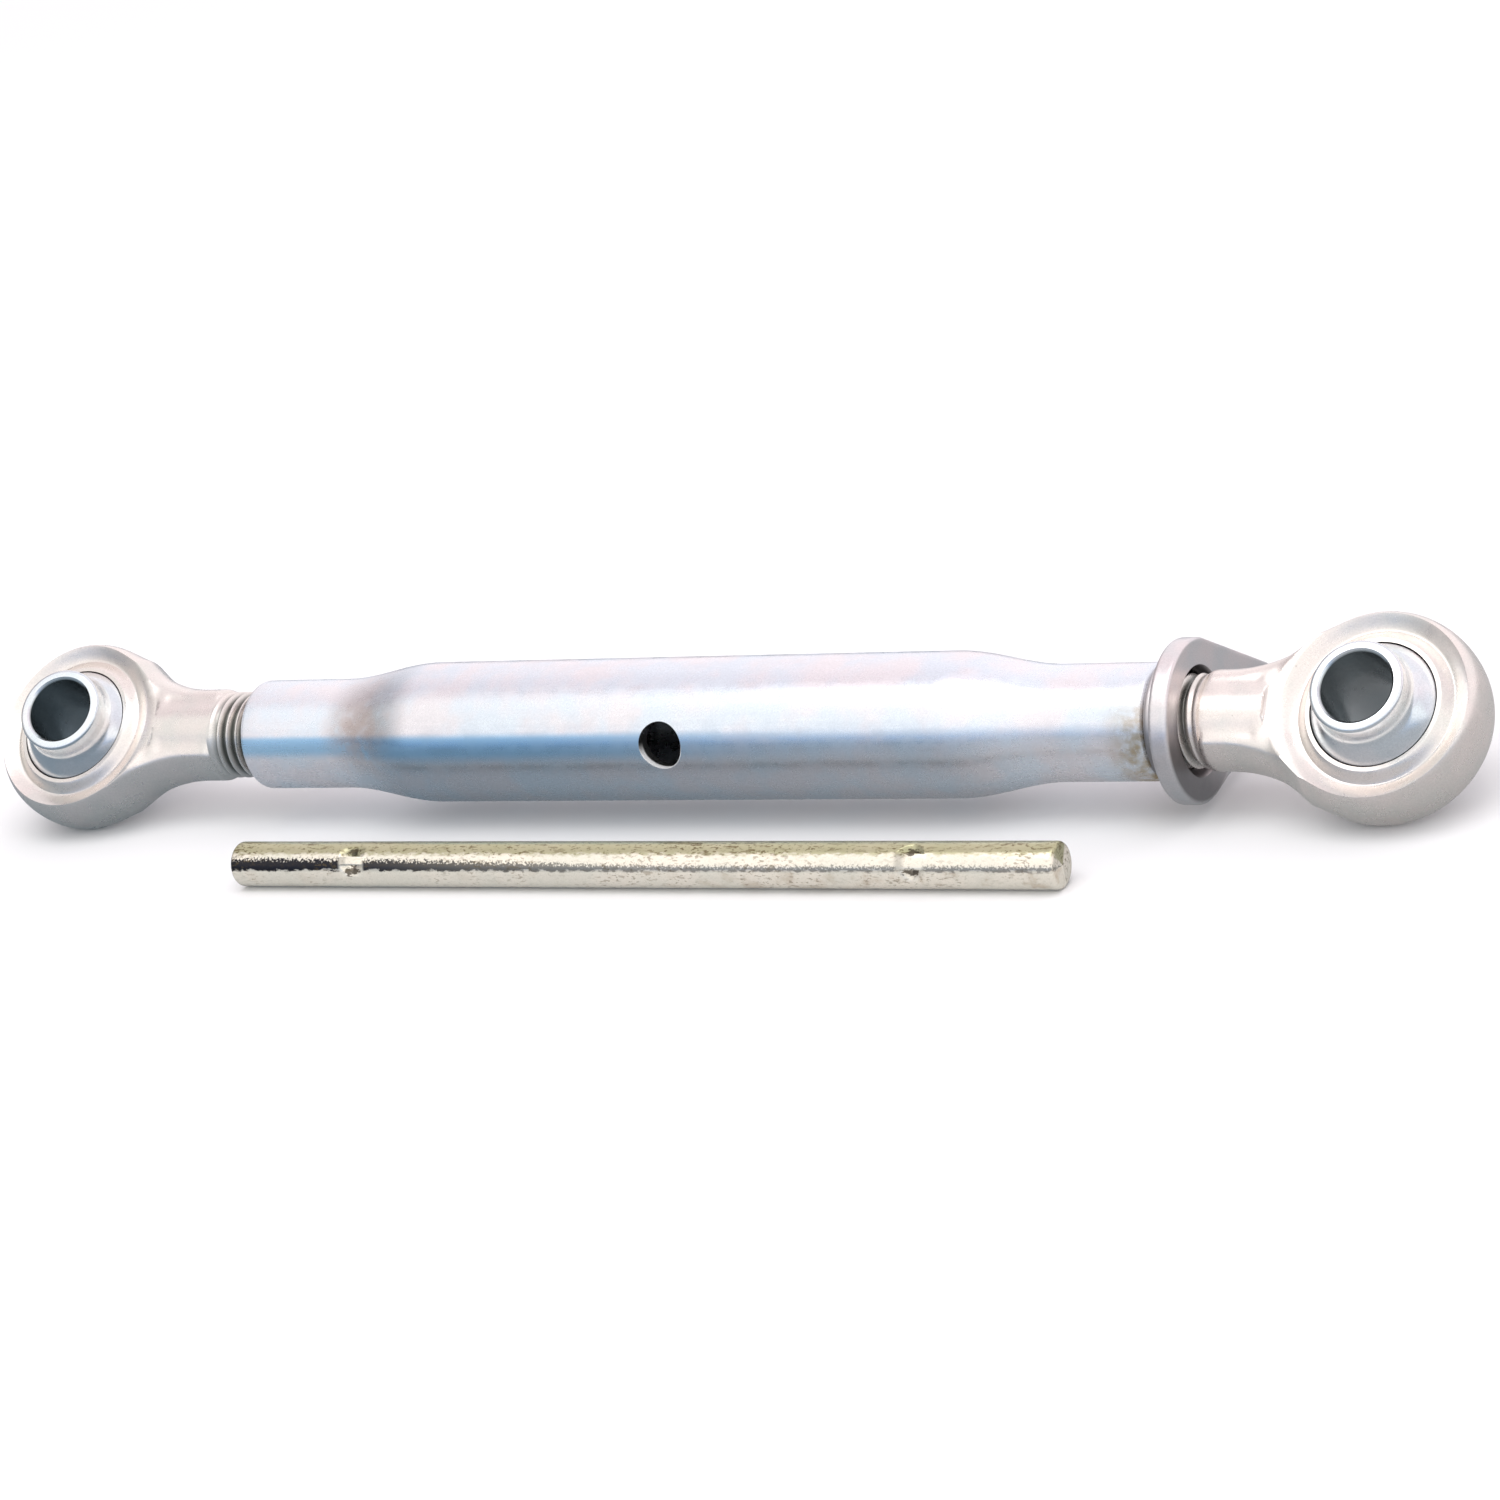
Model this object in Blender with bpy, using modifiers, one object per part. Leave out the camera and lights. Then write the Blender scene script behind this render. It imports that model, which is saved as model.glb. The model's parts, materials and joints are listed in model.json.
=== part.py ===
"""Category 1 three-point-hitch top link: a ball-end turnbuckle with its turning bar.

A swaged tube is tapped left-hand at one end and right-hand at the other.  An eye end screws into
each, and each eye holds a bored ball.  A lug nut locks the right-hand shank against the tube, and a
loose crimped bar goes through the tube's cross hole to turn it.

Two frames are used, both in metres.
  Link frame: origin at mid length of the tube on its axis, +X towards the lock nut, +Z square to the
              flat side of the eyes (along the ball bores).
  World:      +Z up, origin at the bottom centre of the whole object's box.  The link lies rolled onto
              the rims of its balls and the edges of its eyes, which is how it rests on a bench.
"""

import math

import bmesh
import bpy
from mathutils import Matrix, Vector

MM = 0.001
OBJECT_NAME = "top_link"
GAP = 0.3 * MM                      # clearance between neighbouring pieces

# Link
LEFT_PIN_X = -208.9 * MM
RIGHT_PIN_X = 205.9 * MM

# Barrel tube
TUBE_LENGTH = 288.2 * MM
TUBE_RADIUS = 20.0 * MM             # middle
TUBE_END_RADIUS = 15.8 * MM         # swaged ends
TUBE_CORNER = 1.6 * MM              # rounding of the end edges
FLARE_INNER_X = 82.8 * MM           # the full diameter reaches this far from the middle
FLARE_OUTER_X = 114.9 * MM          # the swaged diameter starts here
TUBE_BORE_RADIUS = 15.4 * MM        # middle
CROSS_HOLE_RADIUS = 6.7 * MM
CROSS_HOLE_ANGLE = math.radians(36.4)   # from +Z towards -Y in the link frame

# Thread: 1 inch, 8 threads per inch, left plain here
THREAD_RADIUS = 12.7 * MM
SHANK_RADIUS = THREAD_RADIUS - 0.15 * MM
TAPPED_RADIUS = THREAD_RADIUS + 0.15 * MM

# Eye end, measured from the ball centre
EYE_RADIUS = 28.0 * MM
EYE_HALF_THICKNESS = 10.9 * MM
EYE_RIM_RADIUS = 22.8 * MM          # outer edge of the flat rim, where the rounding starts
EYE_FLAT_RADIUS = 22.4 * MM         # inner edge of the flat rim
LIP_HEIGHT = 10.0 * MM
LIP_WIDTH = 1.3 * MM
GROOVE_RADIUS = 20.2 * MM           # bottom of the staking groove
GROOVE_HEIGHT = 8.5 * MM
GROOVE_WALL = 3.0 * MM              # run-out of the groove's slanted outer wall above the rim
SOCKET_OVERLAP = 2.0 * MM           # how far the face cut reaches into the open socket
NECK_HALF_THICKNESS = 9.6 * MM
NECK_HALF_WIDTH = 12.7 * MM
NECK_FILLET = 28.0 * MM             # hollow between the disc and the neck, seen square to the eye
NECK_END = 50.0 * MM
NECK_ROOT_SHARE = 0.6               # the neck plate's round back, between the rim and the outside
NECK_ROOT_INSET = math.radians(8)   # gap in the plate's outline before that back starts
NECK_EDGE = 5.0 * MM                # rounding of the neck's long edges
SHANK_END = 185.0 * MM

# Ball
BALL_RADIUS = 19.5 * MM
BALL_BORE_RADIUS = 9.7 * MM         # 19.4 mm pin bore of a Category 1 link
BALL_HALF_WIDTH = 22.0 * MM         # 44 mm over the collars
COLLAR_RADIUS = 12.75 * MM
COLLAR_CHAMFER = 0.5 * MM
COLLAR_FILLET = 1.5 * MM
LEFT_BALL_TILT = math.radians(7.8)  # the left ball lies tilted in its socket, towards the tube

# Lock nut, in X from the tube's end
NUT_HUB_RADIUS = 16.7 * MM
NUT_HUB_LENGTH = 4.1 * MM           # from the gap at the tube's end to the flange
NUT_FLANGE_RADIUS = 22.1 * MM
NUT_FLANGE_LENGTH = 5.4 * MM
NUT_EDGE = 0.9 * MM
LUG_REACH = 44.5 * MM               # axis to the centre of the lug's round tip
LUG_TIP_RADIUS = 7.0 * MM
LUG_ANGLE = math.radians(34.0)      # from -Z towards +Y in the link frame

# Turning bar
BAR_RADIUS = 6.35 * MM
BAR_LENGTH = 259.0 * MM
BAR_CHAMFER = 1.2 * MM
BAR_FORWARD = 50.0 * MM             # bar axis in front of the tube axis
BAR_X = 2.2 * MM                    # bar middle along the link
CRIMP_INSET = 41.5 * MM             # bar end to crimp
CRIMP_LENGTH = 7.4 * MM
CRIMP_WIDTH = 5.0 * MM
CRIMP_RISE = 0.6 * MM
CRIMP_DEPTH = 3.0 * MM              # height of the bump, most of it inside the bar
CRIMP_TOP_SHARE = 0.3               # top of the bump beside its base

# Facets
TUBE_SIDES = 40
EYE_SIDES = 40
BALL_SIDES = 32
BAR_SIDES = 24
CORNER_STEPS = 3
FLARE_STEPS = 6
HOLLOW_STEPS = 6
RIM_STEPS = 5
BACK_STEPS = 14
TIP_STEPS = 8
FLANGE_STEPS = 24
SPHERE_STEPS = 16
SMOOTH_ANGLE = math.radians(30)
MERGE = 0.00002
QUARTER = math.pi / 2
ROLL_TOLERANCE = 1e-6


# ---------------------------------------------------------------- scene helpers

def clear_scene():
    for item in list(bpy.data.objects):
        bpy.data.objects.remove(item, do_unlink=True)


def new_collection(name):
    collection = bpy.data.collections.new(name)
    bpy.context.scene.collection.children.link(collection)
    return collection


def metal(name, colour, roughness):
    material = bpy.data.materials.new(name)
    material.use_nodes = True
    shader = material.node_tree.nodes["Principled BSDF"]
    shader.inputs["Base Color"].default_value = (*colour, 1.0)
    shader.inputs["Roughness"].default_value = roughness
    shader.inputs["Metallic"].default_value = 1.0
    return material


def mesh_object(name, mesh, collection, material=None):
    item = bpy.data.objects.new(name, mesh)
    collection.objects.link(item)
    if material:
        mesh.materials.append(material)
    return item




def as_cutter(item):
    item.hide_render = True
    item.display_type = "WIRE"
    return item


def empty(name, parent=None, location=(0, 0, 0), rotation=(0, 0, 0)):
    item = bpy.data.objects.new(name, None)
    bpy.context.scene.collection.objects.link(item)
    item.parent = parent
    item.location = location
    item.rotation_euler = rotation
    return item


def evaluated_mesh(item):
    """A new mesh of the object with its modifiers applied, in the object's own space."""
    bpy.context.view_layer.update()
    graph = bpy.context.evaluated_depsgraph_get()
    return bpy.data.meshes.new_from_object(item.evaluated_get(graph))


def finish_smooth(item):
    """Keeps the object's final mesh in place of its modifiers, with smooth round faces."""
    mesh = evaluated_mesh(item)
    item.modifiers.clear()
    item.data = mesh
    mesh.shade_smooth()
    mesh.set_sharp_from_angle(angle=SMOOTH_ANGLE)


def weld(mesh):
    work = bmesh.new()
    work.from_mesh(mesh)
    bmesh.ops.remove_doubles(work, verts=work.verts, dist=MERGE)
    bmesh.ops.recalc_face_normals(work, faces=work.faces)
    work.to_mesh(mesh)
    work.free()


# ---------------------------------------------------------------- shape helpers

def arc(centre, radius, start, end, steps):
    """Points of an arc from the start angle to the end angle, both included."""
    points = []
    for i in range(steps + 1):
        angle = start + (end - start) * i / steps
        points.append((centre[0] + radius * math.cos(angle), centre[1] + radius * math.sin(angle)))
    return points


def add_turn(item, sides):
    """Turns the object's profile about Z."""
    screw = item.modifiers.new("turn", "SCREW")
    screw.steps = sides
    screw.render_steps = sides
    screw.use_merge_vertices = True
    screw.merge_threshold = MERGE
    screw.use_smooth_shade = False


def turned(name, profile, collection, sides, material=None):
    """A closed (radius, height) profile turned about Z; the profile runs down its outer side."""
    mesh = bpy.data.meshes.new(name)
    points = [(r, 0.0, z) for r, z in profile]
    edges = [(i, (i + 1) % len(points)) for i in range(len(points))]
    mesh.from_pydata(points, edges, [])
    item = mesh_object(name, mesh, collection, material)
    add_turn(item, sides)
    return item


def plate(name, outline, half_thickness, edge, collection):
    """A flat outline in XY, given a thickness along Z and edges rounded by the edge radius."""
    curve = bpy.data.curves.new(name, "CURVE")
    curve.dimensions = "2D"
    curve.fill_mode = "BOTH"
    curve.extrude = half_thickness - edge
    curve.bevel_depth = edge
    curve.bevel_resolution = 1
    curve.offset = -edge
    spline = curve.splines.new("POLY")
    spline.points.add(len(outline) - 1)
    for point, (x, y) in zip(spline.points, outline):
        point.co = (x, y, 0.0, 1.0)
    spline.use_cyclic_u = True
    shape = bpy.data.objects.new(name, curve)
    collection.objects.link(shape)
    mesh = evaluated_mesh(shape)
    bpy.data.objects.remove(shape, do_unlink=True)
    mesh.name = name
    weld(mesh)
    return mesh_object(name, mesh, collection)


def rod(name, radius, start, end, sides, collection):
    """A plain cylinder along X from start to end."""
    mesh = bpy.data.meshes.new(name)
    work = bmesh.new()
    place = Matrix.Translation(((start + end) / 2, 0, 0)) @ Matrix.Rotation(QUARTER, 4, "Y")
    bmesh.ops.create_cone(work, cap_ends=True, segments=sides, radius1=radius, radius2=radius,
                          depth=end - start, matrix=place)
    work.to_mesh(mesh)
    work.free()
    return mesh_object(name, mesh, collection)


def boolean(item, other, operation):
    modifier = item.modifiers.new(other.name, "BOOLEAN")
    modifier.operation = operation
    modifier.solver = "EXACT"
    modifier.object = other


# ---------------------------------------------------------------- barrel

def swage(start_radius, end_radius):
    """Radius and height of the smooth shoulder between the middle and the swaged end."""
    points = []
    for i in range(FLARE_STEPS + 1):
        share = i / FLARE_STEPS
        ease = (1 - math.cos(math.pi * share)) / 2
        height = FLARE_INNER_X + (FLARE_OUTER_X - FLARE_INNER_X) * share
        points.append((start_radius + (end_radius - start_radius) * ease, height))
    return points


def barrel_profile():
    """Outer side from the right-hand end (+Z) down to the left, then back up the bore."""
    end = TUBE_LENGTH / 2
    corner = (TUBE_END_RADIUS - TUBE_CORNER, end - TUBE_CORNER)
    round_corner = arc(corner, TUBE_CORNER, QUARTER, 0, CORNER_STEPS)
    outer_half = round_corner + swage(TUBE_RADIUS, TUBE_END_RADIUS)[::-1]
    bore_half = swage(TUBE_BORE_RADIUS, TAPPED_RADIUS) + [(TAPPED_RADIUS, end)]
    outer = outer_half + [(r, -z) for r, z in reversed(outer_half)]
    bore = [(r, -z) for r, z in reversed(bore_half)] + bore_half
    return outer + bore


def make_barrel(parts, cutters, link, material):
    barrel = turned("barrel_tube", barrel_profile(), parts, TUBE_SIDES, material)
    barrel.parent = link
    barrel.rotation_euler = (0, QUARTER, 0)
    hole = rod("cross_hole", CROSS_HOLE_RADIUS, -2 * TUBE_RADIUS, 2 * TUBE_RADIUS, BAR_SIDES, cutters)
    hole.data.transform(Matrix.Rotation(QUARTER, 4, "Y"))
    hole.parent = link
    hole.rotation_euler = (CROSS_HOLE_ANGLE, 0, 0)
    as_cutter(hole)
    boolean(barrel, hole, "DIFFERENCE")
    return barrel


# ---------------------------------------------------------------- eye ends

def neck_outline():
    """Disc and neck seen square to the eye, joined by a hollow that is tangent to both."""
    fillet_y = NECK_HALF_WIDTH + NECK_FILLET
    fillet_x = math.sqrt((EYE_RADIUS + NECK_FILLET) ** 2 - fillet_y ** 2)
    tangent = math.atan2(fillet_y, fillet_x)
    hollow = arc((fillet_x, fillet_y), NECK_FILLET, -QUARTER, tangent - math.pi, HOLLOW_STEPS)
    top = [(NECK_END, NECK_HALF_WIDTH)] + hollow
    back_radius = EYE_RIM_RADIUS + NECK_ROOT_SHARE * (EYE_RADIUS - EYE_RIM_RADIUS)
    back_start = tangent + NECK_ROOT_INSET
    back = arc((0, 0), back_radius, back_start, 2 * math.pi - back_start, BACK_STEPS)
    bottom = [(x, -y) for x, y in reversed(top)]
    return top + back + bottom


def eye_profile():
    """Solid disc with rounded edge: outer side from the top rim to the bottom rim."""
    rounding = []
    for i in range(RIM_STEPS + 1):
        angle = QUARTER * (1 - i / RIM_STEPS)
        rounding.append((EYE_RIM_RADIUS + (EYE_RADIUS - EYE_RIM_RADIUS) * math.cos(angle),
                         EYE_HALF_THICKNESS * math.sin(angle)))
    mirrored = [(r, -z) for r, z in reversed(rounding[:-1])]
    return [(0.0, EYE_HALF_THICKNESS)] + rounding + mirrored + [(0.0, -EYE_HALF_THICKNESS)]


def socket_profile():
    """Cutter for the ball socket: a sphere that runs out through both faces of the eye."""
    radius = BALL_RADIUS + GAP
    first = QUARTER * (1 - 1 / SPHERE_STEPS)
    return [(0.0, radius)] + arc((0, 0), radius, first, -first, SPHERE_STEPS) + [(0.0, -radius)]


def groove_profile():
    """Cutter for one face: what lies above the lip, the staking groove and the rim."""
    lip_edge = math.sqrt((BALL_RADIUS + GAP) ** 2 - LIP_HEIGHT ** 2)
    inner = lip_edge - SOCKET_OVERLAP
    top = EYE_HALF_THICKNESS + GROOVE_WALL
    return [(inner, top), (EYE_FLAT_RADIUS + GROOVE_WALL, top), (EYE_FLAT_RADIUS, EYE_HALF_THICKNESS),
            (GROOVE_RADIUS, GROOVE_HEIGHT), (lip_edge + LIP_WIDTH, LIP_HEIGHT), (inner, LIP_HEIGHT)]


def make_eye_end(name, parts, cutters, frame, material):
    eye = turned(name, eye_profile(), parts, EYE_SIDES, material)
    eye.parent = frame
    neck = plate(name + "_neck", neck_outline(), NECK_HALF_THICKNESS, NECK_EDGE, cutters)
    shank = rod(name + "_shank", SHANK_RADIUS, NECK_END - NECK_EDGE, SHANK_END, BALL_SIDES, cutters)
    socket = turned(name + "_socket", socket_profile(), cutters, BALL_SIDES)
    groove = turned(name + "_groove", groove_profile(), cutters, EYE_SIDES)
    for cutter in (neck, shank, socket, groove):
        cutter.parent = frame
        as_cutter(cutter)
    other_groove = mesh_object(name + "_groove_back", groove.data, cutters)
    other_groove.parent = frame
    other_groove.rotation_euler = (math.pi, 0, 0)
    add_turn(other_groove, EYE_SIDES)
    as_cutter(other_groove)
    boolean(eye, neck, "UNION")
    boolean(eye, shank, "UNION")
    for cutter in (socket, groove, other_groove):
        boolean(eye, cutter, "DIFFERENCE")
    return eye


# ---------------------------------------------------------------- balls

def ball_profile():
    """Bored ball with a collar on each side: outer side from the top face to the bottom face."""
    junction = math.sqrt(BALL_RADIUS ** 2 - COLLAR_RADIUS ** 2)
    start = math.atan2(junction - COLLAR_FILLET, COLLAR_RADIUS + COLLAR_FILLET)
    upper = [(COLLAR_RADIUS - COLLAR_CHAMFER, BALL_HALF_WIDTH),
             (COLLAR_RADIUS, BALL_HALF_WIDTH - COLLAR_CHAMFER),
             (COLLAR_RADIUS, junction + COLLAR_FILLET)]
    sphere = arc((0, 0), BALL_RADIUS, start, -start, SPHERE_STEPS)
    lower = [(r, -z) for r, z in reversed(upper)]
    bore = [(BALL_BORE_RADIUS, -BALL_HALF_WIDTH), (BALL_BORE_RADIUS, BALL_HALF_WIDTH)]
    return upper + sphere + lower + bore


def make_ball(name, parts, joint, material):
    ball = turned(name, ball_profile(), parts, BALL_SIDES, material)
    ball.parent = joint
    return ball


# ---------------------------------------------------------------- lock nut

def pear_outline():
    """Round flange with tangents to the round tip of the lug, the lug along +X."""
    taper = math.acos((NUT_FLANGE_RADIUS - LUG_TIP_RADIUS) / LUG_REACH)
    tip = arc((LUG_REACH, 0), LUG_TIP_RADIUS, -taper, taper, TIP_STEPS)
    flange = arc((0, 0), NUT_FLANGE_RADIUS, taper, 2 * math.pi - taper, FLANGE_STEPS)
    return tip + flange


def make_lock_nut(parts, cutters, link, material):
    start = TUBE_LENGTH / 2 + GAP
    flange_start = start + NUT_HUB_LENGTH
    end = flange_start + NUT_FLANGE_LENGTH
    middle = (flange_start + end) / 2
    mount = empty("lock_nut_frame", link)
    nut = plate("lock_nut", pear_outline(), NUT_FLANGE_LENGTH / 2, NUT_EDGE, parts)
    nut.data.materials.append(material)
    nut.parent = mount
    flat = Matrix.Rotation(QUARTER, 4, "Y")
    lug = Matrix.Rotation(LUG_ANGLE, 4, "X")
    nut.data.transform(lug @ Matrix.Translation((middle, 0, 0)) @ flat)
    hub = rod("nut_hub", NUT_HUB_RADIUS, start, middle, TUBE_SIDES, cutters)
    bore = rod("nut_bore", TAPPED_RADIUS, start - MM, end + MM, BALL_SIDES, cutters)
    for cutter in (hub, bore):
        cutter.parent = mount
        as_cutter(cutter)
    boolean(nut, hub, "UNION")
    boolean(nut, bore, "DIFFERENCE")
    return nut


# ---------------------------------------------------------------- turning bar

def bar_profile():
    half = BAR_LENGTH / 2
    upper = [(0.0, half), (BAR_RADIUS - BAR_CHAMFER, half), (BAR_RADIUS, half - BAR_CHAMFER)]
    return upper + [(r, -z) for r, z in reversed(upper)]


def crimp_bump(name, x, side, collection):
    """Four-sided bump pushed out of the bar by the crimping jaws."""
    mesh = bpy.data.meshes.new(name)
    work = bmesh.new()
    bmesh.ops.create_cone(work, cap_ends=True, segments=4, radius1=1.0, radius2=CRIMP_TOP_SHARE, depth=1.0)
    size = Matrix.Diagonal((CRIMP_LENGTH / 2, CRIMP_WIDTH / 2, CRIMP_DEPTH, 1.0))
    centre = BAR_RADIUS + CRIMP_RISE - CRIMP_DEPTH / 2
    turn = Matrix.Rotation(QUARTER * side, 4, "X")
    work.transform(Matrix.Translation((x, 0, 0)) @ turn @ Matrix.Translation((0, 0, centre)) @ size)
    work.to_mesh(mesh)
    work.free()
    return as_cutter(mesh_object(name, mesh, collection))


def make_turning_bar(parts, cutters, joint, material):
    bar = turned("turning_bar", bar_profile(), parts, BAR_SIDES, material)
    bar.parent = joint
    bar.rotation_euler = (0, QUARTER, 0)
    crimp_x = BAR_LENGTH / 2 - CRIMP_INSET
    for end in (-1, 1):
        for side in (-1, 1):
            bump = crimp_bump(f"crimp_{end}_{side}", end * crimp_x, side, cutters)
            bump.parent = joint
            boolean(bar, bump, "UNION")
    return bar


# ---------------------------------------------------------------- placing

def resting_roll():
    """Roll about X that brings a ball's rim and its eye's rounded edge down onto one plane."""
    low = math.radians(30)          # here the ball's rim reaches lower
    high = math.radians(55)         # and here the eye's edge does
    while high - low > ROLL_TOLERANCE:
        middle = (low + high) / 2
        ball, eye = support(middle)
        if ball > eye:
            low = middle
        else:
            high = middle
    return (low + high) / 2


def support(roll):
    """Reach below the axis of the ball's rim and of the eye's edge when the link is rolled."""
    ball = (COLLAR_RADIUS - COLLAR_CHAMFER) * math.sin(roll) + BALL_HALF_WIDTH * math.cos(roll)
    edge = math.hypot((EYE_RADIUS - EYE_RIM_RADIUS) * math.sin(roll), EYE_HALF_THICKNESS * math.cos(roll))
    return ball, EYE_RIM_RADIUS * math.sin(roll) + edge


def world_box(items):
    graph = bpy.context.evaluated_depsgraph_get()
    corners = []
    for item in items:
        final = item.evaluated_get(graph)
        corners += [final.matrix_world @ vertex.co for vertex in final.data.vertices]
    low = Vector([min(point[axis] for point in corners) for axis in range(3)])
    high = Vector([max(point[axis] for point in corners) for axis in range(3)])
    return low, high


def build():
    clear_scene()
    parts = new_collection(OBJECT_NAME)
    cutters = new_collection("cutters")
    zinc = metal("zinc_plate", (0.74, 0.74, 0.76), 0.32)
    forged_zinc = metal("forged_zinc_plate", (0.70, 0.69, 0.69), 0.40)
    bright_zinc = metal("bright_zinc_plate", (0.76, 0.78, 0.79), 0.24)
    aged_zinc = metal("aged_zinc_plate", (0.66, 0.64, 0.56), 0.38)

    bench = empty("bench")
    roll = resting_roll()
    height = max(support(roll))
    link = empty("link_frame", bench, (0, 0, height), (roll, 0, 0))
    left_frame = empty("left_eye_frame", link, (LEFT_PIN_X, 0, 0))
    right_frame = empty("right_eye_frame", link, (RIGHT_PIN_X, 0, 0), (0, 0, math.pi))
    left_joint = empty("left_ball_joint", left_frame, (0, 0, 0), (0, LEFT_BALL_TILT, 0))
    right_joint = empty("right_ball_joint", right_frame)
    bar_joint = empty("turning_bar_joint", bench, (BAR_X, -BAR_FORWARD, BAR_RADIUS))

    pieces = [
        make_barrel(parts, cutters, link, zinc),
        make_eye_end("left_eye_end", parts, cutters, left_frame, forged_zinc),
        make_eye_end("right_eye_end", parts, cutters, right_frame, forged_zinc),
        make_ball("left_ball", parts, left_joint, bright_zinc),
        make_ball("right_ball", parts, right_joint, bright_zinc),
        make_lock_nut(parts, cutters, link, zinc),
        make_turning_bar(parts, cutters, bar_joint, aged_zinc),
    ]
    for piece in pieces:
        finish_smooth(piece)
    bpy.context.view_layer.update()
    low, high = world_box(pieces)
    bench.location = (-(low.x + high.x) / 2, -(low.y + high.y) / 2, -low.z)
    bpy.context.view_layer.update()


build()
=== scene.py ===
"""Looks of a ball-end top link: zinc plated tube, forged eye ends with real threads, swivel balls,
lug nut and turning bar.

Shapes are worked out in millimetres.  The link frame has its origin at mid length of the tube on its
axis, +X towards the lock nut and +Z square to the flat side of the eyes.
"""

import json
import math

import bmesh
import bpy
import numpy as np
from mathutils import Matrix, Vector


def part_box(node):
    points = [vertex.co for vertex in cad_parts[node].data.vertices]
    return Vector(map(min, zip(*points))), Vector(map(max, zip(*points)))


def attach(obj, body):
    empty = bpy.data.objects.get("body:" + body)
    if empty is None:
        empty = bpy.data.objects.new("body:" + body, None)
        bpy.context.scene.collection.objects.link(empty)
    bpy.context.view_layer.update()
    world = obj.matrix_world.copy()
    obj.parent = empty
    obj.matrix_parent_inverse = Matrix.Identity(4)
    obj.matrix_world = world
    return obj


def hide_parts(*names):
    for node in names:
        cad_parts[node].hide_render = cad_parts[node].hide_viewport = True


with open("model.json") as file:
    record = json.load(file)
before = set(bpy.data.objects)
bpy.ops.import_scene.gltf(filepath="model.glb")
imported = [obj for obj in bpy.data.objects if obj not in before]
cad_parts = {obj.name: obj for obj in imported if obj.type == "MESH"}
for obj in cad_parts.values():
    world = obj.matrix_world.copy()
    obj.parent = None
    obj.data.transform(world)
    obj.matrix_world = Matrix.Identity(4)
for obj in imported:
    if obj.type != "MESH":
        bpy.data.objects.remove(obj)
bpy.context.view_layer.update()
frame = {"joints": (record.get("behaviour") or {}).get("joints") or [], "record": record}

MM = 0.001
TURN = 2 * math.pi
SMOOTH_ANGLE = math.radians(32)

# Tube
TUBE_HALF = 144.1
TUBE_RADIUS = 20.0
TUBE_END_RADIUS = 15.8
TUBE_CORNER = 1.6
FLARE_INNER = 82.8
FLARE_OUTER = 114.9
TUBE_BORE = 15.4
TAPPED_RADIUS = 12.85
COUNTERSINK = 1.2
CROSS_HOLE_RADIUS = 6.6
CROSS_HOLE_ANGLE = math.radians(36.4)   # from +Z towards -Y
TUBE_SIDES = 224
HOLE_SIDES = 96

# Thread: 1 inch, 8 threads per inch
PITCH = 3.175
THREAD_RADIUS = 12.6
THREAD_DEPTH = 1.95
THREAD_RUNOUT = 5.0
SHANK_END = 185.0
SHANK_CHAMFER = 2.0
THREAD_SIDES = 96

# Eye end, from the ball centre, X towards the tube
EYE_RADIUS = 28.0
EYE_HALF = 9.8
EYE_RIM = 24.6
HOLLOW_RADIUS = 40.0
NECK_RADIUS = 12.7
NECK_SHOULDER = 0.8
NECK_FLAT = 9.3
NECK_END_LEFT = 51.5
NECK_END_RIGHT = 48.5
BALL_RADIUS = 19.5
SOCKET_RADIUS = 19.8
LIP_HEIGHT = 9.5
LIP_INNER = 14.0                        # inside the socket, where nothing is left to cut
LIP_OUTER = 18.5
GROOVE_BOTTOM = 7.2
GROOVE_INNER = 21.3
GROOVE_OUTER = 21.8
CREST_RADIUS = 26.2
CREST_HEIGHT = 9.6
PAD_INNER = 29.0
PAD_OUTER = 33.0
PAD_HALF_WIDTH = 11.0
PAD_RISE = 0.4
PAD_RAMP = 3.0                          # width of its sloping sides
PAD_END_RAMP = 4.0
FLAT_BLEND = 1.4                        # rounding between the neck's flats and its round sides
NECK_END_BLEND = 2.4
NECK_START_BLEND = 2.0
DISC_BLEND = 4.0
ROOT_START = 30.0                       # round root that the threaded shank is joined to
ROOT_LENGTH = 3.0
ROOT_INSET = 1.2
EYE_STEP = 0.55                         # spacing of the points on the surface
CUTTER_SIDES = 192                      # of the round cutters, the nut's as well
THREAD_OVERLAP = 0.6

# Ball
BORE_RADIUS = 9.7
BALL_HALF_WIDTH = 22.0
COLLAR_RADIUS = 12.75
COLLAR_ROUND = 1.0
COLLAR_FILLET = 2.4
BORE_CHAMFER = 0.7
BALL_SIDES = 160

# Lock nut
NUT_HUB_START = 144.4
NUT_HUB_RADIUS = 16.7
NUT_START = 148.5
NUT_END = 153.9
NUT_RADIUS = 22.1
LUG_REACH = 44.5
LUG_TIP = 7.0
LUG_ANGLE = math.radians(34)            # from -Z towards +Y
NUT_EDGE = 1.0
NUT_COUNTERSINK = 14.9
NUT_COUNTERSINK_DEPTH = 3.2
NUT_HUB_EDGE = 1.6
NUT_HUB_FILLET = 1.2
NUT_STEP = 0.5

# Turning bar
BAR_RADIUS = 6.35
BAR_HALF = 129.5
BAR_ROUND = 1.3
CRIMP_X = 88.0
CRIMP_HALF_LENGTH = 4.1
CRIMP_DEPTH = 2.0
CRIMP_SPREAD = 3.6
EAR_RISE = 0.6
CRIMPS = ((-CRIMP_X, 1.2, 34, False),   # place, half width of the ear, its angle, one round notch
          (CRIMP_X, 2.2, 33, True))
CRIMP_REACH = 6.0                       # closely spaced stations on each side of a crimp
CRIMP_STEP = 0.25
BAR_STATIONS = 87
BAR_SIDES = 160


# ---------------------------------------------------------------- placing

def joint_named(name):
    return next(joint for joint in frame["joints"] if joint["name"] == name)


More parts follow.
